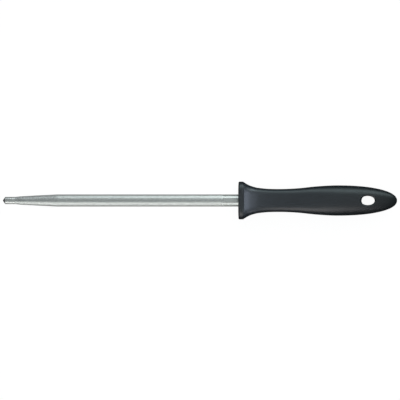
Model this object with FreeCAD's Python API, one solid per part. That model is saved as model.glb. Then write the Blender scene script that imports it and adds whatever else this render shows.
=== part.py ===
"""Knife sharpening steel: a ridged, tapered rod in a flared, soft-skinned handle with an oval hanging hole.

Frame, in millimetres: the origin is where the rod's axis leaves the guard's front face. The rod runs
along -X to its point and the handle along +X to its tail. +Y is across the handle's width and +Z is up,
through the hanging hole, with the handle lying on its broad face.
"""
import FreeCAD
import Part
import math
import os

V = FreeCAD.Vector

# Rod, measured from the guard's front face towards the point
ROD_LENGTH = 200.0
ROD_RADIUS = 5.2           # over the ridge crests, and of the plain shank
SHANK_LENGTH = 12.0        # plain length next to the guard
TAPER_START = 154.0        # the parallel length ends here
TAPER_END = 189.6          # the ridges end here
TAPER_END_RADIUS = 3.4
NOSE_RADIUS = 3.1
POINT_LENGTH = 1.8
POINT_TIP_RADIUS = 0.35    # the point is blunted to this flat
NOSE_EDGE = 0.25           # chamfers of the nose's two edges
RIDGE_COUNT = 72
RIDGE_DEPTH = 0.12         # as a depth on the parallel length
CREST_SHARE = 0.35         # share of the pitch that is crest

# Tang, inside the handle
TANG_RADIUS = 4.0
SHOULDER_LENGTH = 1.2      # cone between shank and tang, seated in the guard's countersink
TANG_LENGTH = 74.0
TANG_NECK_RADIUS = 3.3     # at the bottom of the lock grooves
TANG_GROOVES = (13.0, 19.0, 38.0, 44.0)
TANG_GROOVE_WIDTH = 2.6
TANG_FLAT_START = 52.0
TANG_FLAT_HALF = 3.0       # half the width across the two flats
TANG_END_CHAMFER = 0.8

# Handle outline: half width and half thickness at stations along X
HANDLE_LENGTH = 135.0
GUARD_THICKNESS = 4.4
GUARD_HALF_WIDTH = 16.05
GUARD_HALF_HEIGHT = 13.5
GUARD_SQUARENESS = 4.2     # superellipse exponent of the guard's outline
GUARD_FLAT_HEIGHT = 13.42  # half height over two flats of the rim, which stop the steel rolling
GUARD_PAD_RADIUS = 8.5     # flat seat round the rod
GUARD_CROWN_RADIUS = 86.0  # the front falls away from the pad on this radius
GUARD_FRONT_FILLET = 0.9
GUARD_REAR_FILLET = 0.3
HALF_WIDTHS = ((4.4, 15.8), (8.75, 13.2), (14.0, 11.35), (22.0, 10.15), (35.0, 9.7), (50.0, 10.12),
               (66.0, 11.73), (84.4, 12.7))
HALF_HEIGHTS = ((4.4, 13.25), (8.75, 11.1), (14.0, 9.65), (22.0, 8.8), (35.0, 8.5), (50.0, 8.75),
                (66.0, 9.45), (80.0, 9.9))
WIDTH_SLOPE = -0.62        # of both outlines where the flare meets the guard
TAIL_EXPONENT_Y = 2.2      # the tail closes on a superellipse in plan
TAIL_EXPONENT_Z = 1.95     # and on a leaner one from the side
SQUARENESS = ((4.4, 4.2), (35.0, 3.7), (84.4, 2.9), (135.0, 2.5))
SECTION_POINTS = 32
TAIL_SECTIONS = 11

# Soft skin over the hard core
SKIN = 2.6
CORE_GROOVES = (19.0, 34.0, 50.0, 68.0, 80.0, 94.0)   # where the skin locks into the core
CORE_GROOVE_WIDTH = 4.0
CORE_GROOVE_DEPTH = 0.9

# Nose of the core, which sits in a socket in the guard's back
SPIGOT_LENGTH = 1.8
SPIGOT_HALF_WIDTH = 9.2
SPIGOT_HALF_HEIGHT = 7.4
SPIGOT_SQUARENESS = 3.0

# Hanging hole and its liner
HOLE_X = 110.1
HOLE_HALF_X = 5.95
HOLE_HALF_Y = 4.02
LINER_WALL = 1.4
COLLAR_WALL = 1.3          # the collar that the two core halves trap stands this far out of the liner
COLLAR_HEIGHT = 2.0
LIP_FILLET = 1.5

# Cross pins, and the pegs and pockets of the core halves
PIN_RADIUS = 1.5
PIN_PLACES = (28.5, 62.0)
PIN_SHORT = 0.4            # the pins end this far under the core's surface
PEG_PLACES = ((9.0, 7.2), (9.0, -7.2), (84.0, 6.2), (84.0, -6.2), (99.0, 0.0))
PEG_RADIUS = 1.3
PEG_LENGTH = 2.5
POCKET_SPANS = ((77.5, 81.5), (86.5, 92.0))   # hollows behind the tang, on the joint face
POCKET_HALF_WIDTH = 6.6
POCKET_DEPTH = 4.2

FAR = 60.0                 # longer than any crosswise dimension, for cutting tools


def between(stations, x, first_slope=None, last_slope=None):
    """Smooth cubic value at x through (place, value) stations, with the end slopes given or free."""
    places = [p for p, _ in stations]
    values = [v for _, v in stations]
    chords = [(values[i + 1] - values[i]) / (places[i + 1] - places[i]) for i in range(len(places) - 1)]
    slopes = [chords[0] if first_slope is None else first_slope]
    for i in range(1, len(chords)):
        before, after = places[i] - places[i - 1], places[i + 1] - places[i]
        slopes.append((chords[i - 1] * after + chords[i] * before) / (before + after))
    slopes.append(chords[-1] if last_slope is None else last_slope)
    i = max(k for k in range(len(chords)) if x >= places[k] or k == 0)
    span = places[i + 1] - places[i]
    s = (x - places[i]) / span
    value_part = (1 + 2 * s) * (1 - s) ** 2 * values[i] + s * s * (3 - 2 * s) * values[i + 1]
    slope_part = s * (1 - s) ** 2 * slopes[i] - s * s * (1 - s) * slopes[i + 1]
    return value_part + slope_part * span


def outline(stations, tail_exponent, x):
    """Half width or half thickness of the handle at x: the flare, neck and swell, then the rounded tail."""
    widest, most = stations[-1]
    if x <= widest:
        return between(stations, x, WIDTH_SLOPE, 0.0)
    share = min(1.0, (x - widest) / (HANDLE_LENGTH - widest))
    return most * (1 - share ** tail_exponent) ** (1 / tail_exponent)


def half_width(x):
    return outline(HALF_WIDTHS, TAIL_EXPONENT_Y, x)


def half_height(x):
    return outline(HALF_HEIGHTS, TAIL_EXPONENT_Z, x)


def squareness(x):
    return between(SQUARENESS, x)


def superellipse(x, half_y, half_z, exponent):
    """Closed smooth wire in the plane at x."""
    points = []
    for k in range(SECTION_POINTS):
        angle = 2 * math.pi * (k + 0.5) / SECTION_POINTS
        c, s = math.cos(angle), math.sin(angle)
        r = (abs(c / half_y) ** exponent + abs(s / half_z) ** exponent) ** (-1 / exponent)
        points.append(V(x, r * c, r * s))
    curve = Part.BSplineCurve()
    even = [k / SECTION_POINTS for k in range(SECTION_POINTS + 1)]
    curve.interpolate(Points=points, PeriodicFlag=True, Parameters=even)
    return Part.Wire([curve.toShape()])


def handle_stations():
    """Places of the lofted sections, closer together where the outline turns faster."""
    front = [4.4, 6.3, 8.75, 11.2, 14.0, 17.5, 22.0, 28.0, 35.0, 42.5, 50.0, 58.0, 66.0, 75.0, 84.4]
    widest = front[-1]
    tail = [widest + (HANDLE_LENGTH - widest) * math.sin(math.pi / 2 * k / TAIL_SECTIONS)
            for k in range(1, TAIL_SECTIONS)]
    return front + tail


def handle_shape(inset, first, last):
    """Solid inside the handle's outline, set in by inset, from x = first to x = last or the tail's tip."""
    end = HANDLE_LENGTH + 1 if last is None else last
    stations = [first] + [x for x in handle_stations() if first + 0.5 < x < end - 0.5]
    if last is not None:
        stations.append(last)
    profiles = [superellipse(x, half_width(x) - inset, half_height(x) - inset, squareness(x))
                for x in stations]
    if last is None:
        profiles.append(Part.Vertex(V(HANDLE_LENGTH, 0, 0)))
    return Part.makeLoft(profiles, True, False)


def along_x(radius, first, last):
    return Part.makeCylinder(radius, last - first, V(first, 0, 0), V(1, 0, 0))


def slab(first, last):
    """Everything between two planes across X."""
    return Part.makeBox(last - first, 2 * FAR, 2 * FAR, V(first, -FAR, -FAR))


def ellipse_prism(grow):
    """Upright oval prism on the hanging hole's axis, larger than the hole by grow all round."""
    ellipse = Part.Ellipse(V(HOLE_X, 0, -FAR), HOLE_HALF_X + grow, HOLE_HALF_Y + grow)
    return Part.Face(Part.Wire([ellipse.toShape()])).extrude(V(0, 0, 2 * FAR))


def ridged_section(x, radius):
    """Closed outline of crests and V grooves at x. The grooves shrink with the radius."""
    valley = radius * (1 - RIDGE_DEPTH / ROD_RADIUS)
    pitch = 2 * math.pi / RIDGE_COUNT
    points = []
    for k in range(RIDGE_COUNT):
        for share, r in ((-CREST_SHARE / 2, radius), (CREST_SHARE / 2, radius), (0.5, valley)):
            angle = (k + share) * pitch
            points.append(V(x, r * math.cos(angle), r * math.sin(angle)))
    return Part.makePolygon(points + points[:1])


def ridged_length():
    """Parallel and tapered lengths of the rod, with their ridges."""
    ends = ((-SHANK_LENGTH, ROD_RADIUS), (-TAPER_START, ROD_RADIUS), (-TAPER_END, TAPER_END_RADIUS))
    sections = [ridged_section(x, r) for x, r in ends]
    parallel = Part.Face(sections[0]).extrude(V(SHANK_LENGTH - TAPER_START, 0, 0))
    taper = Part.makeLoft(sections[1:], True, True)
    return parallel.fuse(taper)


def nose():
    """Smooth turned nose and its blunt conical point, as one turned profile."""
    cone_base = -(ROD_LENGTH - POINT_LENGTH)
    profile = [V(-TAPER_END, 0, 0), V(-TAPER_END, NOSE_RADIUS, 0), V(cone_base + NOSE_EDGE, NOSE_RADIUS, 0),
               V(cone_base, NOSE_RADIUS - NOSE_EDGE, 0), V(-ROD_LENGTH, POINT_TIP_RADIUS, 0),
               V(-ROD_LENGTH, 0, 0)]
    return Part.Face(Part.makePolygon(profile + profile[:1])).revolve(V(0, 0, 0), V(1, 0, 0), 360)


def tang():
    """Turned tang with lock grooves, two milled flats and the cross pins' holes."""
    body = along_x(TANG_RADIUS, 0, TANG_LENGTH)
    body = body.makeChamfer(TANG_END_CHAMFER, [e for e in body.Edges if e.BoundBox.XMin > TANG_LENGTH - 0.1])
    for x in TANG_GROOVES:
        ring = along_x(TANG_RADIUS + 1, x, x + TANG_GROOVE_WIDTH)
        body = body.cut(ring.cut(along_x(TANG_NECK_RADIUS, x, x + TANG_GROOVE_WIDTH)))
    for side in (1, -1):
        low = TANG_FLAT_HALF if side > 0 else -TANG_FLAT_HALF - FAR
        body = body.cut(Part.makeBox(FAR, FAR, 2 * FAR, V(TANG_FLAT_START, low, -FAR)))
    for x in PIN_PLACES:
        body = body.cut(upright_cylinder(x, 0, PIN_RADIUS, -FAR, FAR))
    return body


def upright_cylinder(x, y, radius, bottom, top):
    return Part.makeCylinder(radius, top - bottom, V(x, y, bottom), V(0, 0, 1))


def shoulder():
    """Cone by which the rod bears on the guard."""
    return Part.makeCone(ROD_RADIUS, TANG_RADIUS, SHOULDER_LENGTH, V(0, 0, 0), V(1, 0, 0))


def sharpening_rod():
    """One bar: point, nose, ridged length, plain shank, shoulder and tang."""
    shank = along_x(ROD_RADIUS, -SHANK_LENGTH, 0)
    return ridged_length().fuse([nose(), shank, shoulder(), tang()])


def crown_point(y):
    """Point of the guard's front at a distance y from the axis, outside the flat pad."""
    return V(GUARD_CROWN_RADIUS - math.sqrt(GUARD_CROWN_RADIUS ** 2 - (y - GUARD_PAD_RADIUS) ** 2), y, 0)


def guard_front():
    """Everything behind the guard's front: a flat pad that falls away on a large radius."""
    pad_edge = V(0, GUARD_PAD_RADIUS, 0)
    halfway = crown_point((FAR / 2 + GUARD_PAD_RADIUS) / 2)
    rim = crown_point(FAR / 2)
    edges = [Part.makeLine(V(0, 0, 0), pad_edge), Part.Arc(pad_edge, halfway, rim).toShape(),
             Part.makeLine(rim, V(FAR, FAR / 2, 0)), Part.makeLine(V(FAR, FAR / 2, 0), V(FAR, 0, 0)),
             Part.makeLine(V(FAR, 0, 0), V(0, 0, 0))]
    return Part.Face(Part.Wire(edges)).revolve(V(0, 0, 0), V(1, 0, 0), 360)


def spigot():
    """Nose of the core that the guard's socket holds."""
    front = GUARD_THICKNESS - SPIGOT_LENGTH
    wire = superellipse(front, SPIGOT_HALF_WIDTH, SPIGOT_HALF_HEIGHT, SPIGOT_SQUARENESS)
    return Part.Face(wire).extrude(V(SPIGOT_LENGTH, 0, 0))


def between_flats():
    """Slab between the guard's two flats."""
    corner = V(-FAR, -FAR, -GUARD_FLAT_HEIGHT)
    return Part.makeBox(2 * FAR, 2 * FAR, 2 * GUARD_FLAT_HEIGHT, corner)


def guard_plate():
    """Oblong front plate with two flats, pierced for the tang, with a socket for the core in its back."""
    wire = superellipse(0, GUARD_HALF_WIDTH, GUARD_HALF_HEIGHT, GUARD_SQUARENESS)
    plate = Part.Face(wire).extrude(V(GUARD_THICKNESS, 0, 0)).common(guard_front())
    rim = [e for e in plate.Edges if e.BoundBox.ZLength > 1.9 * GUARD_HALF_HEIGHT]
    plate = plate.makeFillet(GUARD_FRONT_FILLET, [e for e in rim if e.BoundBox.XMax < GUARD_THICKNESS - 0.1])
    rim = [e for e in plate.Edges if e.BoundBox.XMin > GUARD_THICKNESS - 0.1]
    plate = plate.makeFillet(GUARD_REAR_FILLET, rim).common(between_flats())
    return plate.cut(along_x(TANG_RADIUS, -1, GUARD_THICKNESS + 1)).cut(shoulder()).cut(spigot())


def core_envelope():
    """Outside of the two core halves together, with the rings that the skin grips."""
    last = HANDLE_LENGTH - 2 * SKIN
    body = handle_shape(SKIN, GUARD_THICKNESS, last)
    deeper = handle_shape(SKIN + CORE_GROOVE_DEPTH, GUARD_THICKNESS, last)
    for x in CORE_GROOVES:
        body = body.cut(slab(x, x + CORE_GROOVE_WIDTH).cut(deeper))
    return body


def liner(envelope):
    """Oval sleeve that lines the hanging hole, with a collar trapped between the core halves."""
    sleeve = ellipse_prism(LINER_WALL).common(envelope)
    band = Part.makeBox(FAR, FAR, COLLAR_HEIGHT, V(HOLE_X - FAR / 2, -FAR / 2, -COLLAR_HEIGHT / 2))
    collar = ellipse_prism(LINER_WALL + COLLAR_WALL).common(band)
    return sleeve.fuse(collar).cut(ellipse_prism(0))


def pins(envelope):
    """Cross pins, ending a little under the core's surface."""
    made = []
    for x in PIN_PLACES:
        top = min(half_height(x + dx) for dx in (-PIN_RADIUS, PIN_RADIUS)) - SKIN - PIN_SHORT
        made.append(upright_cylinder(x, 0, PIN_RADIUS, -top, top))
    return made


def core_half(side, envelope, inner):
    """One half of the hard core: the upper one (side 1) carries the pegs, the lower (-1) their sockets."""
    level = 0 if side > 0 else -FAR
    half = envelope.fuse(spigot()).common(Part.makeBox(4 * FAR, 2 * FAR, FAR, V(-FAR, -FAR, level)))
    half = half.cut(ellipse_prism(LINER_WALL))
    for first, last in POCKET_SPANS:
        low = 0 if side > 0 else -POCKET_DEPTH
        half = half.cut(Part.makeBox(last - first, 2 * POCKET_HALF_WIDTH, POCKET_DEPTH,
                                     V(first, -POCKET_HALF_WIDTH, low)))
    for piece in inner:
        half = half.cut(piece)
    for x in PIN_PLACES:
        half = half.cut(upright_cylinder(x, 0, PIN_RADIUS, -FAR, FAR))
    pegs = [upright_cylinder(x, y, PEG_RADIUS, -PEG_LENGTH, 0) for x, y in PEG_PLACES]
    return half.fuse(pegs) if side > 0 else half.cut(pegs[0].multiFuse(pegs[1:]))


def grip_skin(inner):
    """Soft skin: the handle's outline less everything inside it, with a rounded lip at the hanging hole."""
    outside = handle_shape(0, GUARD_THICKNESS, None).cut(ellipse_prism(0))
    hole_edges = [e for e in outside.Edges
                  if abs(e.BoundBox.Center.x - HOLE_X) < 1 and e.BoundBox.YLength < 2.2 * HOLE_HALF_Y
                  and e.BoundBox.XLength > 1.8 * HOLE_HALF_X]
    outside = outside.makeFillet(LIP_FILLET, hole_edges)
    for piece in inner:
        outside = outside.cut(piece)
    return outside


def main():
    os.makedirs("parts", exist_ok=True)
    rod = sharpening_rod()
    envelope = core_envelope()
    sleeve = liner(envelope)
    front_pin, rear_pin = pins(envelope)
    upper = core_half(1, envelope, [rod, sleeve])
    lower = core_half(-1, envelope, [rod, sleeve])
    parts = {
        "sharpening_rod": rod,
        "guard_plate": guard_plate(),
        "core_upper_half": upper,
        "core_lower_half": lower,
        "tang_pin_front": front_pin,
        "tang_pin_rear": rear_pin,
        "hang_hole_liner": sleeve,
        "grip_skin": grip_skin([envelope, sleeve]),
    }
    for name, shape in parts.items():
        if shape.Solids and len(shape.Solids) == 1:
            shape = shape.Solids[0]
        shape.exportStep(f"parts/{name}.step")
        box = shape.optimalBoundingBox(False)
        print(f"{name}: valid {shape.isValid()}, solids {len(shape.Solids)}, volume {shape.Volume:.1f} mm3, "
              f"X {box.XMin:.2f} to {box.XMax:.2f}, Y {box.YLength:.2f}, Z {box.ZLength:.2f}")


main()
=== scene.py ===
"""Looks of a knife sharpening steel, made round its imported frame.

The rod lies along -X and the handle along +X, lying on its broad face, with +Z up through the hanging hole.
Sizes in the classes are in millimetres, and MM turns them into Blender's metres. Overall sizes and places
are read from the frame.
"""

import logging
import random
from dataclasses import dataclass, field
from enum import Enum
from math import atan2, copysign, cos, hypot, pi, radians, sin, sqrt
from typing import Sequence

import bmesh
import bpy
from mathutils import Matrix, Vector


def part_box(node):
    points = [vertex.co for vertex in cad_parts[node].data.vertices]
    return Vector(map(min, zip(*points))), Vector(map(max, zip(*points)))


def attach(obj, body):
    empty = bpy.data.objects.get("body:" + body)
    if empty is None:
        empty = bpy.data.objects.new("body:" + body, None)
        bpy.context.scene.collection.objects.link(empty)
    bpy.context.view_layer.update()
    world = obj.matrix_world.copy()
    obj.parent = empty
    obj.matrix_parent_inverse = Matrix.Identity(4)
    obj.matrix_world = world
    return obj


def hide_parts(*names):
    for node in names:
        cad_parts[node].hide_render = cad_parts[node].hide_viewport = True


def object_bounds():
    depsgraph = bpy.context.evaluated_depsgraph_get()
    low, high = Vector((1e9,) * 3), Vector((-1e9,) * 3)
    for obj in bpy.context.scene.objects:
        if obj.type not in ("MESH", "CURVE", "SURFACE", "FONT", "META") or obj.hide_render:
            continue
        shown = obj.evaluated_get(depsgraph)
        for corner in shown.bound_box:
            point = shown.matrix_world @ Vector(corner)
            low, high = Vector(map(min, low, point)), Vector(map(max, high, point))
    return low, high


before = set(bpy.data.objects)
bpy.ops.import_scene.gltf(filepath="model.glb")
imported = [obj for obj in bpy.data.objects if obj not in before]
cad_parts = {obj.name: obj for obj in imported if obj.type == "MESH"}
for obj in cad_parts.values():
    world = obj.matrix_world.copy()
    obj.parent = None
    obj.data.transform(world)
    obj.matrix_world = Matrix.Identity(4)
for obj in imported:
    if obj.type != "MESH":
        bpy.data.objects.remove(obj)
CAD_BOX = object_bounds()

MM = 0.001
BODY = "root"
WAVES_PER_UNIT = 3.15  # bands that the wave node draws in a metre at a scale of 1
LOG = logging.getLogger("sharpening_steel")

Thing = bpy.types.Object
Tree = bpy.types.NodeTree
Socket = bpy.types.NodeSocket
Ring = list[bmesh.types.BMVert]
Stations = Sequence[tuple[float, float]]


class Slot(Enum):
    """Material slot names for the pieces made here; they are passed to each piece but not used."""

    ROD = "rod_steel"
    GUARD = "guard_plastic"
    GRIP = "grip_soft"


class Side(Enum):
    """Which broad face of the handle a patch is on, as the sign of Z."""

    UPPER = 1
    LOWER = -1


# ---------------- numbers


def spaced(first: float, last: float, count: int) -> list[float]:
    """Evenly spaced values after first, up to and with last."""
    return [first + (last - first) * k / count for k in range(1, count + 1)]


def quarter(spans: int) -> list[float]:
    """Angles of a quarter turn from 0, in so many equal spans."""
    return [0.0] + spaced(0.0, pi / 2, spans)


def circle(x: float, radius: float, count: int) -> list[Vector]:
    """Points round the rod's axis at x, all in millimetres."""
    return [Vector((x, radius * cos(a), radius * sin(a)))
            for a in (2 * pi * k / count for k in range(count))]


def between(stations: Stations, x: float, first: float | None = None, last: float | None = None) -> float:
    """Smooth cubic value through (place, value) stations.

    Args:
        stations: the places and values.
        x: where to read it.
        first: slope at the first station, or None for the first chord's.
        last: slope at the last station, or None for the last chord's.

    Returns:
        The value at x.
    """
    chords = [(b[1] - a[1]) / (b[0] - a[0]) for a, b in zip(stations, stations[1:])]
    slopes = [chords[0] if first is None else first]
    for i in range(1, len(chords)):
        before = stations[i][0] - stations[i - 1][0]
        after = stations[i + 1][0] - stations[i][0]
        slopes.append((chords[i - 1] * after + chords[i] * before) / (before + after))
    slopes.append(chords[-1] if last is None else last)
    i = max(k for k in range(len(chords)) if x >= stations[k][0] or k == 0)
    (place, value), (next_place, next_value) = stations[i], stations[i + 1]
    span = next_place - place
    s = (x - place) / span
    values = (1 + 2 * s) * (1 - s) ** 2 * value + s * s * (3 - 2 * s) * next_value
    return values + (s * (1 - s) ** 2 * slopes[i] - s * s * (1 - s) * slopes[i + 1]) * span


# ---------------- nodes and colours


def srgb(hex_code: str) -> tuple[float, float, float, float]:
    """Turns an sRGB colour into the linear one that shaders take.

    Args:
        hex_code: six hex digits, with or without a leading hash.

    Returns:
        Linear red, green and blue, and an alpha of 1.
    """
    digits = hex_code.lstrip("#")
    parts = [int(digits[i:i + 2], 16) / 255 for i in (0, 2, 4)]
    linear = [p / 12.92 if p <= 0.04045 else ((p + 0.055) / 1.055) ** 2.4 for p in parts]
    return linear[0], linear[1], linear[2], 1.0


def add_node(tree: Tree, kind: str, inputs: dict[str | int, object] | None = None,
             **settings: object) -> bpy.types.Node:
    """Adds a node with its settings and its inputs.

    Args:
        tree: the node tree it goes in.
        kind: the node's type.
        inputs: values, or outputs of other nodes to link, by the input's name or number.
        **settings: properties of the node.

    Returns:
        The new node.
    """
    node = tree.nodes.new(kind)
    for name, value in settings.items():
        setattr(node, name, value)
    for key, value in (inputs or {}).items():
        if isinstance(value, Socket):
            tree.links.new(value, node.inputs[key])
        else:
            node.inputs[key].default_value = value
    return node


def ramp(tree: Tree, value: Socket, start: float, end: float, low: float, high: float,
         how: str = "LINEAR") -> Socket:
    """Makes a value that goes from low to high while another goes from start to end.

    Args:
        tree: the node tree it goes in.
        value: the other value.
        start: the other value where the ramp starts.
        end: the other value where it ends.
        low: the new value at the start.
        high: the new value at the end.
        how: the node's kind of interpolation.

    Returns:
        The new value.
    """
    ends = {"From Min": start, "From Max": end, "To Min": low, "To Max": high}
    return add_node(tree, "ShaderNodeMapRange", {"Value": value} | ends, interpolation_type=how).outputs[0]


def per_metre(size_mm: float) -> float:
    """Noise scale that gives features of about this size, in millimetres."""
    return 1.0 / (size_mm * MM)


@dataclass
class Surface:
    """The nodes of one material in the making."""

    tree: Tree
    shader: bpy.types.Node
    place: Socket  # where on the object a point is, in metres

    def feed(self, value: Socket, name: str) -> None:
        """Links a value to the shader's input of this name."""
        self.tree.links.new(value, self.shader.inputs[name])

    def mottle(self, size_mm: float, low: float, high: float,
               stretch: tuple[float, float, float] = (1, 1, 1)) -> Socket:
        """Makes a slow uneven value across the surface.

        Args:
            size_mm: size of its patches.
            low: least value.
            high: greatest value.
            stretch: scale along each axis, under 1 for longer patches.

        Returns:
            The value.
        """
        moved = add_node(self.tree, "ShaderNodeMapping", {"Vector": self.place, "Scale": stretch}).outputs[0]
        noise = add_node(self.tree, "ShaderNodeTexNoise",
                         {"Vector": moved, "Scale": per_metre(size_mm), "Detail": 4.0, "Roughness": 0.55})
        return ramp(self.tree, noise.outputs["Fac"], 0.3, 0.7, low, high)

    def tint(self, share: Socket, first: str, second: str) -> None:
        """Colours the surface between two colours.

        Args:
            share: 0 for the first colour, 1 for the second.
            first: sRGB hex.
            second: sRGB hex.
        """
        mix = add_node(self.tree, "ShaderNodeMix", {0: share, 6: srgb(first), 7: srgb(second)},
                       data_type="RGBA")
        self.feed(mix.outputs[2], "Base Color")

    def relief(self, height: Socket, strength: float, depth_mm: float) -> None:
        """Gives the surface fine relief.

        Args:
            height: its height, from 0 to 1.
            strength: how strongly it shows.
            depth_mm: how deep it is.
        """
        bump = add_node(self.tree, "ShaderNodeBump",
                        {"Height": height, "Strength": strength, "Distance": depth_mm * MM})
        self.feed(bump.outputs[0], "Normal")


# ---------------- finishes


@dataclass(frozen=True)
class Finish:
    """What a surface is made of and how it was made."""

    name: str
    colour: str
    roughness: float
    metallic: float = 0.0

    def material(self) -> bpy.types.Material:
        """Builds the node material.

        Returns:
            The material, ready to put on a piece.
        """
        made = bpy.data.materials.new(self.name)
        made.use_nodes = True
        tree = made.node_tree
        tree.nodes.clear()
        shader = add_node(tree, "ShaderNodeBsdfPrincipled",
                          {"Base Color": srgb(self.colour), "Roughness": self.roughness,
                           "Metallic": self.metallic})
        add_node(tree, "ShaderNodeOutputMaterial", {"Surface": shader.outputs[0]})
        self.dress(Surface(tree, shader, add_node(tree, "ShaderNodeTexCoord").outputs["Object"]))
        return made

    def dress(self, surface: Surface) -> None:
        """Adds the surface's own pattern."""


@dataclass(frozen=True)
class ChromedRodSteel(Finish):
    """Hard-chromed carbon steel, ground lengthwise between the cut ridges.

    To the eye: bright, with long soft streaks and a cool cast, and a plain ground band next to the guard.
    """

    second_colour: str = "#C3C8C6"
    shank_roughness: float = 0.34
    shank_length: float = 12.0  # ground crosswise next to the guard, so a little duller
    shank_blend: float = 1.0
    streak_mm: float = 0.35  # real grinding lines are about 0.02 mm, drawn coarser to show
    streak_length: float = 160.0  # in streak widths
    shade_mm: float = 3.0
    haze_mm: float = 2.0
    haze: tuple[float, float] = (-0.01, 0.02)  # added to the roughness
    stretch: tuple[float, float, float] = (0.02, 1.0, 1.0)

    def dress(self, surface: Surface) -> None:
        """Adds the lengthwise streaks and a faint uneven haze.

        Args:
            surface: the material's nodes.
        """
        shade = surface.mottle(self.shade_mm, 0.0, 1.0, self.stretch)
        surface.tint(shade, self.colour, self.second_colour)
        haze = surface.mottle(self.haze_mm, *self.haze, self.stretch)
        along = add_node(surface.tree, "ShaderNodeSeparateXYZ", {0: surface.place}).outputs["X"]
        ground = ramp(surface.tree, along, -(self.shank_length + self.shank_blend) * MM,
                      -self.shank_length * MM, self.roughness, self.shank_roughness)
        gloss = add_node(surface.tree, "ShaderNodeMath", {0: ground, 1: haze}, operation="ADD")
        surface.feed(gloss.outputs[0], "Roughness")
        streaks = surface.mottle(self.streak_mm, 0.0, 1.0, (1 / self.streak_length, 1.0, 1.0))
        surface.relief(streaks, 0.12, 0.01)


@dataclass(frozen=True)
class TurnedSteel(Finish):
    """Steel turned in a lathe, with fine rings round it; the nose is chromed, and the point's dark grey
    colour is painted shade.

    To the eye: sharper reflections than the ridges give, and dull grey on the point, where the colour is
    painted shade.
    """

    ring_mm: float = 0.5  # feed marks, drawn coarser than the real 0.1 mm
    haze_mm: float = 1.5
    haze: float = 0.06  # most that is added to the roughness

    def dress(self, surface: Surface) -> None:
        """Adds the lathe's rings.

        Args:
            surface: the material's nodes.
        """
        wave = add_node(surface.tree, "ShaderNodeTexWave",
                        {"Vector": surface.place, "Scale": per_metre(self.ring_mm) / WAVES_PER_UNIT,
                         "Distortion": 1.5, "Detail": 2.0, "Detail Scale": 1.5},
                        wave_type="BANDS", bands_direction="X")
        surface.relief(wave.outputs["Fac"], 0.2, 0.01)
        surface.feed(surface.mottle(self.haze_mm, self.roughness, self.roughness + self.haze), "Roughness")


@dataclass(frozen=True)
class MouldedPlastic(Finish):
    """Plastic moulded in a spark-eroded tool, which gives it a fine even matt grain.

    To the eye: near black with broad soft highlights, and a little unevenness where it has been handled.
    """

    second_colour: str = "#1B1E20"
    grain_mm: float = 0.45  # the real grain is about 0.05 mm, drawn coarser to show
    grain_height_mm: float = 0.05
    shade_mm: float = 14.0
    gloss_mm: float = 9.0
    gloss: tuple[float, float] = (-0.03, 0.04)  # added to the roughness
    ior: float = 1.5

    def dress(self, surface: Surface) -> None:
        """Adds the grain, a slow shift of shade and uneven gloss.

        Args:
            surface: the material's nodes.
        """
        surface.shader.inputs["IOR"].default_value = self.ior
        surface.tint(surface.mottle(self.shade_mm, 0.0, 1.0), self.colour, self.second_colour)
        low, high = (self.roughness + shift for shift in self.gloss)
        surface.feed(surface.mottle(self.gloss_mm, low, high), "Roughness")
        grain = add_node(surface.tree, "ShaderNodeTexNoise",
                         {"Vector": surface.place, "Scale": per_metre(self.grain_mm), "Detail": 3.0})
        surface.relief(grain.outputs["Fac"], 1.0, self.grain_height_mm)


@dataclass(frozen=True)
class GroundPinSteel(Finish):
    """Bright drawn steel pin, ground round, with fine rings."""

    def dress(self, surface: Surface) -> None:
        """Adds the grinding rings round the pin."""
        surface.relief(surface.mottle(0.2, 0.0, 1.0, (0.05, 0.05, 1.0)), 0.3, 0.01)


@dataclass(frozen=True)
class LitTable(Finish):
    """White acrylic light table. To the eye: even white, with a faint shadow round the steel."""

    glow: float = 1.0

    def dress(self, surface: Surface) -> None:
        """Lights the table from inside, and keeps its surface free of reflections.

        Args:
            surface: the material's nodes.
        """
        inputs = surface.shader.inputs
        inputs["Emission Strength"].default_value = self.glow
        inputs["Specular IOR Level"].default_value = 0.0


ROD_FINISH = ChromedRodSteel("hard_chromed_ridged_steel", "#CDD2D0", 0.22, 1.0)
NOSE_FINISH = TurnedSteel("turned_chromed_steel", "#CCD0CE", 0.3, 1.0)
# the point's dark grey is painted shade: a dark colour standing in for the dark room its mirror faces
POINT_FINISH = TurnedSteel("turned_steel_painted_shade_dark", "#727374", 0.42, 1.0)
GUARD_FINISH = MouldedPlastic("moulded_glass_filled_nylon", "#25292B", 0.34, second_colour="#222528",
                              ior=1.53)
GRIP_FINISH = MouldedPlastic("overmoulded_soft_elastomer", "#25292C", 0.34, second_colour="#222629")
CORE_FINISH = MouldedPlastic("moulded_polypropylene_core", "#222426", 0.5, second_colour="#1B1C1E",
                             ior=1.49)
LINER_FINISH = MouldedPlastic("moulded_acetal_liner", "#1D1F21", 0.35, second_colour="#17191A",
                              grain_mm=0.8, ior=1.48)
PIN_FINISH = GroundPinSteel("ground_pin_steel", "#B9BBBC", 0.25, 1.0)
TABLE_FINISH = LitTable("white_acrylic_table", "#A0A0A0", 1.0, glow=0.944)


# ---------------- meshes


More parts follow.
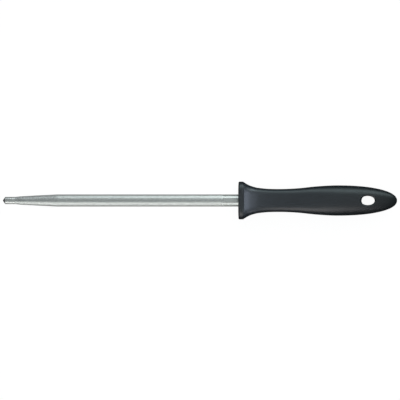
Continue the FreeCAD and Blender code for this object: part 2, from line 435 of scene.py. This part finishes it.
@dataclass
class Draft:
    """A mesh in the making. Its points are given in millimetres."""

    mesh: bmesh.types.BMesh = field(default_factory=bmesh.new)

    def ring(self, points: Sequence[Vector]) -> Ring:
        """Adds the points and returns their vertices."""
        return [self.mesh.verts.new(p * MM) for p in points]

    def bridge(self, first: Ring, second: Ring) -> None:
        """Joins two closed rings with quads.

        Args:
            first: one ring.
            second: the other ring, with as many points, in the same order.
        """
        count = len(first)
        for k in range(count):
            after = (k + 1) % count
            self.mesh.faces.new((first[k], first[after], second[after], second[k]))

    def tube(self, rings: Sequence[Ring]) -> None:
        """Joins rings one after another."""
        for first, second in zip(rings, rings[1:]):
            self.bridge(first, second)

    def fan(self, ring: Ring, tip: Vector) -> None:
        """Closes a ring with triangles.

        Args:
            ring: the ring.
            tip: the point where they meet.
        """
        top = self.mesh.verts.new(tip * MM)
        for k, vertex in enumerate(ring):
            self.mesh.faces.new((vertex, ring[(k + 1) % len(ring)], top))

    def body(self, name: str) -> Thing:
        """Turns the draft into a plain object in the scene.

        Args:
            name: the object's name.

        Returns:
            The new object.
        """
        bmesh.ops.recalc_face_normals(self.mesh, faces=self.mesh.faces)
        data = bpy.data.meshes.new(name)
        self.mesh.to_mesh(data)
        self.mesh.free()
        made = bpy.data.objects.new(name, data)
        bpy.context.scene.collection.objects.link(made)
        return made

    def piece(self, name: str, finish: Finish, slot: Slot, sharp_deg: float = 35.0) -> Thing:
        """Turns the draft into a piece that rides on the object.

        Args:
            name: the piece's name.
            finish: what it's made of.
            slot: not used.
            sharp_deg: edges that turn by more than this stay crisp.

        Returns:
            The new piece.
        """
        made = self.body(name)
        data = made.data
        data.polygons.foreach_set("use_smooth", [True] * len(data.polygons))
        data.set_sharp_from_angle(angle=radians(sharp_deg))
        data.materials.append(finish.material())
        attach(made, BODY)
        LOG.info("%s: %d faces", name, len(data.polygons))
        return made


# ---------------- rod


@dataclass
class Rod:
    """The steel bar: ridged length, plain shank, nose, point and the tang inside the handle."""

    shank_length: float = 12.0
    taper_start: float = 154.0
    taper_end: float = 189.6
    taper_end_radius: float = 3.4
    nose_radius: float = 3.1
    blend_length: float = 6.0  # end of the taper, which eases down to the nose
    blend_step: float = 0.02
    point_length: float = 1.8
    point_tip_radius: float = 0.35
    point_tip_round: float = 0.12
    edge: float = 0.2
    end_shrink: float = 0.95  # of the bar's very end
    ridge_count: int = 72
    ridge_depth: float = 0.035
    ridge_shift: float = 0.05  # most, as a share of the pitch
    ridge_least: float = 0.8  # least share of the depth
    crest_share: float = 0.6
    flank_fall: float = 0.55  # share of the depth halfway down a ridge's flank
    run_out: float = 1.6
    tang_radius: float = 4.0
    tang_neck_radius: float = 3.3
    tang_chamfer: float = 0.8
    groove_places: tuple[float, ...] = (13.0, 19.0, 38.0, 44.0)
    groove_width: float = 2.6
    flat_start: float = 52.0
    flat_half: float = 3.0
    pin_places: tuple[float, ...] = (28.5, 62.0)
    pin_radius: float = 1.5
    pin_points: int = 48
    turned_points: int = 96

    def __post_init__(self) -> None:
        """Reads the overall sizes from the frame."""
        low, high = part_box("sharpening_rod")
        self.length = -low.x / MM
        self.point_base = self.point_length - self.length
        self.radius = high.z / MM
        self.tang_length = high.x / MM

    def radius_at(self, x: float) -> float:
        """Radius over the ridges.

        Args:
            x: distance in front of the guard.

        Returns:
            The radius there.
        """
        if x <= self.taper_start:
            return self.radius
        share = (x - self.taper_start) / (self.taper_end - self.taper_start)
        cone = self.radius + share * (self.taper_end_radius - self.radius)
        eased = max(0.0, 1 - (self.taper_end - x) / self.blend_length)
        drop = self.taper_end_radius - self.nose_radius - self.blend_step
        return cone - drop * eased * eased * (3 - 2 * eased)

    def depth_at(self, x: float) -> float:
        """Ridge depth at x. The ridges run out in front of the shank and shrink along the taper."""
        grown = min(1.0, max(0.0, (x - self.shank_length) / self.run_out))
        return self.ridge_depth * sin(grown * pi / 2) * self.radius_at(x) / self.radius

    def ridged_points(self, x: float, ridges: Stations) -> list[Vector]:
        """Outline of the ridges at x.

        Args:
            x: distance in front of the guard.
            ridges: each ridge's shift along the pitch and its depth share.

        Returns:
            Six points for each ridge.
        """
        half = self.crest_share / 2
        flank = (half + 0.5) / 2
        shape = ((-half, 0.0), (0.0, 0.0), (half, 0.0), (flank, self.flank_fall), (0.5, 1.0),
                 (1 - flank, self.flank_fall))
        points = []
        for k, (shift, share) in enumerate(ridges):
            for place, fall in shape:
                angle = 2 * pi * (k + place + shift) / self.ridge_count
                r = self.radius_at(x) - self.depth_at(x) * fall * share
                points.append(Vector((-x, r * cos(angle), r * sin(angle))))
        return points

    def stations(self) -> list[float]:
        """Places of the ridged length's rings, close at the run-out and both ends of the taper.

        Returns:
            Distances in front of the guard.
        """
        run_out_end = self.shank_length + self.run_out
        start, settled = self.taper_start - 2, self.taper_start + 1
        blend = self.taper_end - self.blend_length
        shank = [0.0, 0.4, self.shank_length * 0.5, self.shank_length]
        return (shank + spaced(self.shank_length, run_out_end, 6) + spaced(run_out_end, start, 30)
                + spaced(start, settled, 3) + spaced(settled, blend, 10) + spaced(blend, self.taper_end, 8))

    def tang_profile(self) -> list[tuple[float, float]]:
        """Profile of the tang, from the shoulder to its end.

        Returns:
            (x, radius) points.
        """
        profile = [(self.radius - self.tang_radius, self.tang_radius)]
        for x in self.groove_places:
            end = x + self.groove_width
            profile += [(x, self.tang_radius), (x, self.tang_neck_radius), (end, self.tang_neck_radius),
                        (end, self.tang_radius)]
        last = self.tang_length - self.tang_chamfer
        profile += [(x, self.tang_radius) for x in spaced(end, last, 12)]
        return profile + [(self.tang_length, self.tang_radius - self.tang_chamfer)]

    def build_bar(self) -> Thing:
        """Builds the ridged length, shank, shoulder and tang as one closed mesh.

        Returns:
            The bar.
        """
        draft = Draft()
        chance = random.Random(7)
        shift = self.ridge_shift
        ridges = [(chance.uniform(-shift, shift), chance.uniform(self.ridge_least, 1.0))
                  for _ in range(self.ridge_count)]
        end_x = -self.taper_end - self.edge / 2
        end = [Vector((end_x, p.y * self.end_shrink, p.z * self.end_shrink))
               for p in self.ridged_points(self.taper_end, ridges)]
        rings = [draft.ring(end)]
        rings += [draft.ring(self.ridged_points(x, ridges)) for x in reversed(self.stations())]
        directions = [Vector((0, p.y, p.z)).normalized() for p in self.ridged_points(0.0, ridges)]
        for x, r in self.tang_profile():
            flat = self.flat_half if x >= self.flat_start else r
            rings.append(draft.ring([Vector((x, max(-flat, min(flat, r * d.y)), r * d.z))
                                     for d in directions]))
        draft.tube(rings)
        draft.fan(rings[0], Vector((end_x, 0, 0)))
        draft.fan(rings[-1], Vector((self.tang_length, 0, 0)))
        bar = draft.piece("rod_bar", ROD_FINISH, Slot.ROD)
        self.drill(bar)
        return bar

    def drill(self, bar: Thing) -> None:
        """Cuts the cross pins' holes through the tang.

        Args:
            bar: the bar they go through.
        """
        r, reach = self.pin_radius, 2 * self.radius
        turns = [2 * pi * k / self.pin_points for k in range(self.pin_points)]
        for k, x in enumerate(self.pin_places):
            draft = Draft()
            rings = [draft.ring([Vector((x + r * cos(a), r * sin(a), z)) for a in turns])
                     for z in (-reach, reach)]
            draft.tube(rings)
            for ring in rings:
                draft.mesh.faces.new(ring)
            tool = draft.body(f"drill_{k}")
            cut = bar.modifiers.new("hole", "BOOLEAN")
            cut.object = tool
            cut.solver = "EXACT"
            bpy.context.view_layer.objects.active = bar
            bpy.ops.object.modifier_apply(modifier=cut.name)
            bpy.data.objects.remove(tool)

    def turned(self, name: str, profile: Stations, finish: Finish) -> Thing:
        """Turns a closed profile round the rod's axis.

        Args:
            name: the piece's name.
            profile: (x, radius) points, from end to end.
            finish: what it's made of.

        Returns:
            The turned piece.
        """
        draft = Draft()
        rings = [draft.ring(circle(x, r, self.turned_points)) for x, r in profile]
        draft.tube(rings)
        draft.fan(rings[0], Vector((profile[0][0], 0, 0)))
        draft.fan(rings[-1], Vector((profile[-1][0], 0, 0)))
        return draft.piece(name, finish, Slot.ROD)

    def build_nose(self) -> Thing:
        """Builds the smooth nose between the ridges and the point.

        Returns:
            The nose.
        """
        front, back = self.point_base, -self.taper_end - self.edge / 2
        r = self.nose_radius
        neck = [(back, r - self.edge / 2), (back - self.edge / 2, r)]
        rim = [(front + self.edge * (1 - sin(a)), r - self.edge * (1 - cos(a)))
               for a in quarter(5)]
        return self.turned("rod_nose", neck + rim + [(front, r - 2 * self.edge)], NOSE_FINISH)

    def build_point(self) -> Thing:
        """Builds the blunt conical point.

        Returns:
            The point.
        """
        base, r = self.point_base, self.nose_radius - self.edge
        tip_radius = self.point_tip_radius
        slope = list(zip(spaced(base, -self.length, 8), spaced(r, tip_radius, 8)))[:-1]
        tip = [(self.point_tip_round - self.length, tip_radius * 1.05), (-self.length, tip_radius * 0.6)]
        return self.turned("rod_point", [(base, r * 0.9), (base, r)] + slope + tip, POINT_FINISH)

    def build(self) -> list[Thing]:
        """Builds the whole rod and hides the frame's own.

        Returns:
            The rod's pieces.
        """
        pieces = [self.build_bar(), self.build_nose(), self.build_point()]
        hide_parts("sharpening_rod")
        return pieces


# ---------------- handle


@dataclass
class HandleForm:
    """Outside of the handle behind the guard: a rounded oblong that flares, narrows, swells and closes."""

    half_widths: Stations = (
        (4.4, 15.8), (8.75, 13.2), (14.0, 11.35), (22.0, 10.15), (35.0, 9.7), (50.0, 10.28), (66.0, 11.9),
        (84.4, 12.82))
    half_heights: Stations = (
        (4.4, 13.25), (8.75, 11.1), (14.0, 9.65), (22.0, 8.8), (35.0, 8.5), (50.0, 8.75), (66.0, 9.45),
        (80.0, 9.9))
    squareness_stations: Stations = ((4.4, 4.2), (35.0, 4.2), (84.4, 2.65), (135.0, 2.4))
    flare_end: float = 14.0
    widest: float = 84.4
    flare_slope: float = -0.62
    tail_exponent_y: float = 2.2
    tail_exponent_z: float = 1.95

    def __post_init__(self) -> None:
        """Reads the handle's ends from the frame."""
        low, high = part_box("grip_skin")
        self.front = low.x / MM
        self.tail = high.x / MM

    def outline(self, stations: Stations, exponent: float, x: float) -> float:
        """Half width or half thickness.

        Args:
            stations: its places and values, up to the widest or thickest place.
            exponent: superellipse exponent of the tail's outline.
            x: place along the handle.

        Returns:
            The half width or half thickness at x.
        """
        widest, most = stations[-1]
        if x <= widest:
            return between(stations, x, self.flare_slope, 0.0)
        share = min(1.0, (x - widest) / (self.tail - widest))
        return most * (1 - share ** exponent) ** (1 / exponent)

    def half_width(self, x: float) -> float:
        """Half the width at x."""
        return self.outline(self.half_widths, self.tail_exponent_y, x)

    def half_height(self, x: float) -> float:
        """Half the thickness at x."""
        return self.outline(self.half_heights, self.tail_exponent_z, x)

    def squareness(self, x: float) -> float:
        """Superellipse exponent of the section at x."""
        return between(self.squareness_stations, x)

    def point(self, x: float, turn: float, inset: float) -> Vector:
        """Point of the section at x.

        Args:
            x: place along the handle.
            turn: where round the section, in radians from +Y towards +Z.
            inset: how far inside the outline.

        Returns:
            The point.
        """
        power = 2 / self.squareness(x)
        c, s = cos(turn), sin(turn)
        y = max(0.0, self.half_width(x) - inset) * copysign(abs(c) ** power, c)
        z = max(0.0, self.half_height(x) - inset) * copysign(abs(s) ** power, s)
        return Vector((x, y, z))

    def height(self, x: float, y: float, inset: float) -> float:
        """Height of the broad face above the handle's middle plane.

        Args:
            x: place along the handle.
            y: place across it.
            inset: how far inside the outline.

        Returns:
            The height.
        """
        n = self.squareness(x)
        share = min(1.0, abs(y) / (self.half_width(x) - inset))
        return (self.half_height(x) - inset) * (1 - share ** n) ** (1 / n)


@dataclass
class HangingHole:
    """The oval hole through the tail."""

    half_x: float = 5.95
    half_y: float = 4.02
    lip: float = 1.5

    def __post_init__(self) -> None:
        """Reads the hole's place from its liner."""
        low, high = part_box("hang_hole_liner")
        self.x = (low.x + high.x) / 2 / MM

    def edge(self, turn: float, out: float) -> tuple[float, float]:
        """Point at a distance out from the hole's edge, along the edge's normal.

        Args:
            turn: where round the hole, in radians from +X towards +Y.
            out: the distance.

        Returns:
            Its x and y.
        """
        c, s = cos(turn), sin(turn)
        nx, ny = c / self.half_x, s / self.half_y
        size = hypot(nx, ny)
        return self.x + self.half_x * c + out * nx / size, self.half_y * s + out * ny / size


@dataclass
class GripSkin:
    """The soft outer skin, one closed mesh with a rounded lip at both mouths of the hanging hole."""

    form: HandleForm
    hole: HangingHole
    thickness: float = 2.6
    front_edge: float = 0.25
    front_gap: float = 1e-4  # sets the front edge in by a hair more
    seam_height: float = 0.05
    seam_half_width: float = 0.2
    seam_rows: tuple[float, ...] = (0.5, 1.0, 1.6)  # in seam half widths
    seam_fade: float = 3.0  # it fades where the half thickness is under this
    quarter_steps: int = 26
    window_turn: float = 0.98  # where round the section a mouth's window starts
    window_reach: float = 4.2  # and how far past the hole it reaches
    lip_steps: int = 9
    fill_steps: int = 7
    fill_growth: float = 1.3  # widens the rings outwards

    def turns(self, x: float) -> list[float]:
        """Places round the section, closer together at the moulding seam on each side.

        Args:
            x: place along the handle.

        Returns:
            Angles in radians, from +Y towards +Z.
        """
        power = self.form.squareness(x) / 2
        b = max(0.05, self.form.half_height(x))
        seam = [min(0.02 * (k + 1), (z * self.seam_half_width / b) ** power)
                for k, z in enumerate(self.seam_rows)]
        first_quarter = [0.0] + seam + spaced(seam[-1], pi / 2, self.quarter_steps)[:-1]
        half = first_quarter + [pi / 2] + [pi - t for t in reversed(first_quarter[1:])]
        return half + [pi + t for t in half]

    def stations(self, last: float) -> list[float]:
        """Places of the rings along the handle, closer together at the flare and the tail.

        Args:
            last: the end of the tail.

        Returns:
            Places from the guard on.
        """
        first, flare_end, widest = self.form.front + self.front_edge, self.form.flare_end, self.form.widest
        tail = [widest + (last - widest) * sin(a) for a in quarter(56)[1:-1]]
        return [first] + spaced(first, flare_end, 18) + spaced(flare_end, widest, 64) + tail

    def window(self, stations: Sequence[float], count: int) -> tuple[int, int, int, int]:
        """Which rings and turns bound the window that a mouth of the hole replaces.

        Args:
            stations: places of the rings.
            count: number of turns in half a section.

        Returns:
            First and last ring, first and last turn.
        """
        reach = self.hole.half_x + self.window_reach
        rings = [i for i, x in enumerate(stations) if abs(x - self.hole.x) < reach]
        turns = self.turns(self.hole.x)[:count]
        inside = [j for j, t in enumerate(turns) if self.window_turn <= t <= pi - self.window_turn]
        return rings[0], rings[-1], inside[0], inside[-1]

    def on_face(self, x: float, y: float, side: Side, inset: float, drop: float = 0.0) -> Vector:
        """Point on a broad face, or dropped from it towards the middle plane."""
        return Vector((x, y, side.value * (self.form.height(x, y, inset) - drop)))

    def mouth(self, draft: Draft, loop: Ring, side: Side, inset: float, lip: float) -> Ring:
        """Fills a window with rings that close in on the hole.

        Args:
            draft: the skin's mesh.
            loop: the window's edge, in order.
            side: which broad face it's on.
            inset: how far inside the outline the sheet lies.
            lip: radius of the rounded lip, or 0.

        Returns:
            The innermost ring, on the hole's edge.
        """
        places = [(v.co.x / MM, v.co.y / MM) for v in loop]
        turns = [atan2(y / self.hole.half_y, (x - self.hole.x) / self.hole.half_x) for x, y in places]
        rings = []
        for a in (quarter(self.lip_steps) if lip else [0.0]):
            out, drop = lip * (1 - cos(a)), lip * (1 - sin(a))
            rings.append(draft.ring([self.on_face(*self.hole.edge(turn, out), side, inset, drop)
                                     for turn in turns]))
        rim = [self.hole.edge(turn, out) for turn in turns]
        for part in spaced(0.0, 1.0, self.fill_steps)[:-1]:
            s = part ** self.fill_growth
            rings.append(draft.ring([self.on_face(x + s * (far_x - x), y + s * (far_y - y), side, inset)
                                     for (x, y), (far_x, far_y) in zip(rim, places)]))
        draft.tube(rings + [loop])
        return rings[0]

    def sheet(self, draft: Draft, inset: float, last: float, lip: float) -> tuple[Ring, list[Ring]]:
        """Builds one face of the skin, outer or inner, with its two windows filled.

        Args:
            draft: the skin's mesh.
            inset: how far inside the outline it lies.
            last: where it ends along the handle.
            lip: radius of the lip at the hole, or 0.

        Returns:
            Its front ring, and the ring on each mouth of the hole.
        """
        stations = self.stations(last)
        grid = [draft.ring(self.section(x, inset)) for x in stations]
        count = len(grid[0])
        half = count // 2
        first_ring, last_ring, first_turn, last_turn = self.window(stations, half)
        mouths = []
        for side in Side:
            shift = 0 if side is Side.UPPER else half
            a, b = first_turn + shift, last_turn + shift
            loop = [grid[i][a] for i in range(first_ring, last_ring)]
            loop += [grid[last_ring][j] for j in range(a, b)]
            loop += [grid[i][b] for i in range(last_ring, first_ring, -1)]
            loop += [grid[first_ring][j] for j in range(b, a, -1)]
            mouths.append(self.mouth(draft, loop, side, inset, lip))
        for i, (near, far) in enumerate(zip(grid, grid[1:])):
            for j in range(count):
                if first_ring <= i < last_ring and first_turn <= j % half < last_turn:
                    continue
                after = (j + 1) % count
                draft.mesh.faces.new((near[j], near[after], far[after], far[j]))
        draft.fan(grid[-1], Vector((last, 0, 0)))
        inner = {v for ring in grid[first_ring + 1:last_ring]
                 for shift in (0, half) for v in ring[first_turn + 1 + shift:last_turn + shift]}
        bmesh.ops.delete(draft.mesh, geom=list(inner), context="VERTS")
        return grid[0], mouths

    def section(self, x: float, inset: float) -> list[Vector]:
        """Ring at x, with the faint line of the moulding seam if it's on the outer face.

        Args:
            x: place along the handle.
            inset: how far inside the outline, or 0 for the outer face.

        Returns:
            Its points.
        """
        points = [self.form.point(x, t, inset) for t in self.turns(x)]
        if inset:
            return points
        fade = min(1.0, self.form.half_height(x) / self.seam_fade)
        for p in points:
            near = max(0.0, 1 - abs(p.z) / self.seam_half_width)
            p.y += copysign(self.seam_height * near * fade, p.y)
        return points

    def build(self) -> Thing:
        """Builds the skin and hides the frame's own.

        Returns:
            The skin.
        """
        draft = Draft()
        outer_front, outer_mouths = self.sheet(draft, 0.0, self.form.tail, self.hole.lip)
        last = self.form.tail - 2 * self.thickness
        inner_front, inner_mouths = self.sheet(draft, self.thickness, last, 0.0)
        for outer, inner in zip(outer_mouths, inner_mouths):
            draft.bridge(outer, inner)
        x, r = self.form.front, self.front_edge
        edge = [draft.ring([Vector((x + r * (1 - sin(a)), p.y, p.z))
                            for p in self.section(x + r, r * (1 - cos(a)) + self.front_gap)])
                for a in quarter(4)[1:]]
        draft.tube([outer_front] + edge)
        draft.bridge(edge[-1], inner_front)
        skin = draft.piece("grip_skin_moulding", GRIP_FINISH, Slot.GRIP, 50.0)
        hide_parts("grip_skin")
        return skin


@dataclass
class GuardPlate:
    """The oblong plate at the front of the handle, turned over at its rims."""

    half_height: float = 13.5  # before the two flats are cut
    squareness: float = 4.2
    pad_radius: float = 8.5
    pad_rings: tuple[float, ...] = (6.5, 7.5)
    crown_radius: float = 86.0
    front_round: float = 0.9
    rear_round: float = 0.3
    tang_radius: float = 4.0
    rod_radius: float = 5.2
    socket_depth: float = 1.8
    socket_half_width: float = 9.2
    socket_half_height: float = 7.4
    socket_squareness: float = 3.0
    count: int = 192

    def __post_init__(self) -> None:
        """Reads the plate's size from the frame."""
        low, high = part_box("guard_plate")
        self.thickness = high.x / MM
        self.half_width = (high.y - low.y) / 2 / MM
        self.flat_height = high.z / MM

    def oval(self, half_y: float, half_z: float, n: float) -> list[tuple[float, float]]:
        """Rounded rectangle, with its points at even polar angles.

        Args:
            half_y: half its width.
            half_z: half its height.
            n: superellipse exponent.

        Returns:
            (y, z) points.
        """
        points = []
        for k in range(self.count):
            angle = 2 * pi * k / self.count
            c, s = cos(angle), sin(angle)
            r = (abs(c / half_y) ** n + abs(s / half_z) ** n) ** (-1 / n)
            points.append((r * c, r * s))
        return points

    def rim(self, inset: float) -> list[tuple[float, float]]:
        """Outline of the plate, set in by inset."""
        return self.oval(self.half_width - inset, self.half_height - inset, self.squareness)

    def crown(self, y: float, z: float) -> float:
        """How far the front has fallen away at (y, z)."""
        beyond = max(0.0, hypot(y, z) - self.pad_radius)
        return self.crown_radius - sqrt(self.crown_radius ** 2 - beyond ** 2)

    def front_rings(self) -> list[list[Vector]]:
        """Rings of the front face, from the rod's countersink out to the rim's rounding.

        Returns:
            The points of each ring.
        """
        rings = [circle(0.0, r, self.count) for r in (self.rod_radius, *self.pad_rings, self.pad_radius)]
        pad, outer = rings[-1], self.rim(self.front_round)
        for share in spaced(0.0, 1.0, 10):
            places = [(p.y + (y - p.y) * share, p.z + (z - p.z) * share) for p, (y, z) in zip(pad, outer)]
            rings.append([Vector((self.crown(y, z), y, z)) for y, z in places])
        return rings

    def build(self) -> Thing:
        """Builds the plate and hides the frame's own.

        Returns:
            The plate.
        """
        rings = self.front_rings()
        for a in quarter(6)[1:]:
            back = self.front_round * (1 - cos(a))
            rings.append([Vector((self.crown(y, z) + back, y, z))
                          for y, z in self.rim(self.front_round * (1 - sin(a)))])
        for a in quarter(4):
            x = self.thickness - self.rear_round * (1 - sin(a))
            rings.append([Vector((x, y, z)) for y, z in self.rim(self.rear_round * (1 - cos(a)))])
        socket = self.oval(self.socket_half_width, self.socket_half_height, self.socket_squareness)
        floor = self.thickness - self.socket_depth
        rings += [[Vector((x, y, z)) for y, z in socket] for x in (self.thickness, floor)]
        seat = self.rod_radius - self.tang_radius
        rings += [circle(x, self.tang_radius, self.count) for x in (floor, seat)]
        for point in (p for ring in rings for p in ring):
            point.z = max(-self.flat_height, min(self.flat_height, point.z))
        draft = Draft()
        made = [draft.ring(ring) for ring in rings]
        draft.tube(made + made[:1])
        plate = draft.piece("guard_plate_moulding", GUARD_FINISH, Slot.GUARD)
        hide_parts("guard_plate")
        return plate


@dataclass
class InnerParts:
    """The hidden pieces and the hole's liner, which keep the frame's shapes and get real finishes."""

    finishes: dict[str, Finish] = field(default_factory=lambda: {
        "core_upper_half": CORE_FINISH, "core_lower_half": CORE_FINISH, "tang_pin_front": PIN_FINISH,
        "tang_pin_rear": PIN_FINISH, "hang_hole_liner": LINER_FINISH})

    def dress(self) -> list[Thing]:
        """Puts each finish on its node.

        Returns:
            The dressed nodes.
        """
        materials = {finish.name: finish.material() for finish in self.finishes.values()}
        for name, finish in self.finishes.items():
            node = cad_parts[name]
            node.data.materials.clear()
            node.data.materials.append(materials[finish.name])
            LOG.info("%s: %s", name, finish.name)
        return [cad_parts[name] for name in self.finishes]


# ---------------- studio


class Lit(Enum):
    """Which pieces a light is aimed at. It is flagged off the rest."""

    ROD = "lit_rod"
    HANDLE = "lit_handle"


@dataclass(frozen=True)
class SoftBox:
    """A soft light, turned to a place on the object's axis. A grid over it can narrow its beam."""

    name: str
    lit: Lit
    azimuth_deg: float  # from +X towards +Y
    elevation_deg: float
    width: float
    height: float
    radiance: float
    colour: str
    distance: float = 1.6
    aim_x: float = -32.5  # where on the axis it points, in millimetres
    spread_deg: float = 180.0

    def place(self, receivers: bpy.types.Collection) -> None:
        """Makes the light.

        Args:
            receivers: the only pieces it lights.
        """
        data = bpy.data.lights.new(self.name, "AREA")
        data.shape = "RECTANGLE"
        data.size, data.size_y = self.width, self.height
        data.energy = self.radiance * pi * self.width * self.height
        data.color = srgb(self.colour)[:3]
        data.spread = radians(self.spread_deg)
        light = bpy.data.objects.new(self.name, data)
        bpy.context.scene.collection.objects.link(light)
        a, e = radians(self.azimuth_deg), radians(self.elevation_deg)
        away = Vector((cos(a) * cos(e), sin(a) * cos(e), sin(e)))
        light.location = Vector((self.aim_x * MM, 0, 0)) + away * self.distance
        light.rotation_mode = "QUATERNION"
        light.rotation_quaternion = away.to_track_quat("Z", "Y")
        light.visible_camera = False
        light.light_linking.receiver_collection = receivers


@dataclass
class Studio:
    """Light table, soft lights, surroundings and the camera, which looks straight down."""

    field_width: float = 340.0  # width of the view at the rod's axis
    view_x: float = -32.5
    view_y: float = 0.43
    lens: float = 1500.0  # so long that the hanging hole is seen straight through
    sensor: float = 36.0
    table_size: float = 60.0
    zenith_glow: float = 0.42
    low_glow: float = 0.02
    point_end_glow: float = 0.12
    front_glow: float = 0.15
    bright_side: tuple[float, float, float] = (-0.9, 0.6, 1.0)
    boxes: tuple[SoftBox, ...] = (
        SoftBox("rod_back", Lit.ROD, 90, 21, 2.2, 0.8, 2.0, "#F1F8F8", aim_x=910),
        SoftBox("rod_back_end", Lit.ROD, 90, 21, 2.2, 0.8, 0.6, "#EEF2F8", aim_x=-1290),
        SoftBox("rod_back_shank", Lit.ROD, 90, 21, 0.06, 0.12, 0.6, "#F1F8F8", 0.25, 5.0),
        SoftBox("rod_front", Lit.ROD, -90, 23, 2.5, 1.15, 1.85, "#FBFAF8", aim_x=-1020),
        SoftBox("rod_low_back", Lit.ROD, 90, -30, 4.0, 1.0, 0.45, "#F4F8F8"),
        SoftBox("rod_low_front", Lit.ROD, -90, -30, 4.0, 1.0, 0.55, "#F8F6F4"),
        SoftBox("rod_under", Lit.ROD, 0, -90, 4.0, 2.4, 0.6, "#F8F8F8"),
        SoftBox("rod_top", Lit.ROD, 0, 90, 1.6, 1.2, 0.1, "#F4F8F6"),
        SoftBox("rod_point_end", Lit.ROD, 180, 10, 2.2, 2.0, 0.45, "#F4F6F6", 1.2, -150.0),
        SoftBox("rod_tail_end", Lit.ROD, 0, 40, 2.2, 2.0, 0.45, "#F4F6F6", 1.2, -100.0),
        SoftBox("handle_back", Lit.HANDLE, 90, 34, 4.0, 1.1, 1.75, "#D9F2F4"),
        SoftBox("handle_front", Lit.HANDLE, -110, 40, 1.4, 1.4, 2.3, "#F6F1EE"),
        SoftBox("handle_flare", Lit.HANDLE, 0, 38, 0.28, 0.06, 0.4, "#DAE5FA", 0.2, 8.0, 38.0),
        SoftBox("handle_flare_top", Lit.HANDLE, 0, 60, 0.2, 0.1, 0.11, "#DAE5FA", 0.2, 12.0, 36.0),
        SoftBox("handle_flare_back", Lit.HANDLE, 50, 30, 0.12, 0.08, 0.22, "#DDEAF4", 0.2, 8.0, 38.0),
        SoftBox("handle_flare_front", Lit.HANDLE, -50, 30, 0.12, 0.08, 0.24, "#DDE2F0", 0.2, 8.0, 38.0),
    )

    def build_table(self) -> None:
        """Builds the table top at the object's lowest point."""
        top = CAD_BOX[0].z
        half = self.table_size / 2
        mesh = bpy.data.meshes.new("light_table")
        corners = [(-half, -half, top), (half, -half, top), (half, half, top), (-half, half, top)]
        mesh.from_pydata(corners, [], [(0, 1, 2, 3)])
        mesh.materials.append(TABLE_FINISH.material())
        table = bpy.data.objects.new("light_table", mesh)
        bpy.context.scene.collection.objects.link(table)
        table.visible_glossy = False
        table.visible_diffuse = False
        table.visible_shadow = False

    def build_world(self) -> None:
        """Dim surroundings: dark below, towards the point, and low down in front and beyond the tail."""
        world = bpy.data.worlds.new("studio_room")
        world.use_nodes = True
        tree = world.node_tree
        tree.nodes.clear()
        way = add_node(tree, "ShaderNodeTexCoord").outputs["Generated"]
        parts = add_node(tree, "ShaderNodeSeparateXYZ", {0: way}).outputs
        lean = add_node(tree, "ShaderNodeVectorMath", {0: way, 1: self.bright_side}, operation="DOT_PRODUCT")
        level = ramp(tree, parts["Z"], -0.1, 0.1, self.low_glow, self.zenith_glow, "SMOOTHSTEP")
        for share in (ramp(tree, parts["X"], -0.7, 0.1, self.point_end_glow, 1.0, "SMOOTHSTEP"),
                      ramp(tree, lean.outputs["Value"], -0.1, 0.55, self.front_glow, 1.0, "SMOOTHSTEP")):
            level = add_node(tree, "ShaderNodeMath", {0: level, 1: share}, operation="MULTIPLY").outputs[0]
        light = add_node(tree, "ShaderNodeBackground", {"Color": srgb("#EFF4F5"), "Strength": level})
        add_node(tree, "ShaderNodeOutputWorld", {"Surface": light.outputs[0]})
        bpy.context.scene.world = world

    def build_camera(self) -> None:
        """Makes the camera."""
        data = bpy.data.cameras.new("camera")
        data.lens = self.lens
        data.sensor_width = self.sensor
        camera = bpy.data.objects.new("camera", data)
        bpy.context.scene.collection.objects.link(camera)
        distance = self.field_width * self.lens / self.sensor
        camera.location = Vector((self.view_x, self.view_y, distance)) * MM
        bpy.context.scene.camera = camera

    def build(self, pieces: dict[Lit, Sequence[Thing]]) -> None:
        """Builds the whole studio.

        Args:
            pieces: the pieces that each set of lights is for.
        """
        self.build_table()
        self.build_world()
        receivers = {lit: bpy.data.collections.new(lit.value) for lit in Lit}
        for lit, collection in receivers.items():
            for piece in pieces[lit]:
                collection.objects.link(piece)
        for box in self.boxes:
            box.place(receivers[box.lit])
        self.build_camera()
        bpy.context.scene.view_settings.view_transform = "Standard"
        LOG.info("studio: %d soft lights", len(self.boxes))


def main() -> None:
    """Builds the rod, the handle and the studio, in that order."""
    logging.basicConfig(level=logging.INFO, format="%(name)s: %(message)s")
    rod = Rod().build()
    handle = [GuardPlate().build(), GripSkin(HandleForm(), HangingHole()).build()] + InnerParts().dress()
    Studio().build({Lit.ROD: rod, Lit.HANDLE: handle})


if __name__ == "__main__":
    main()
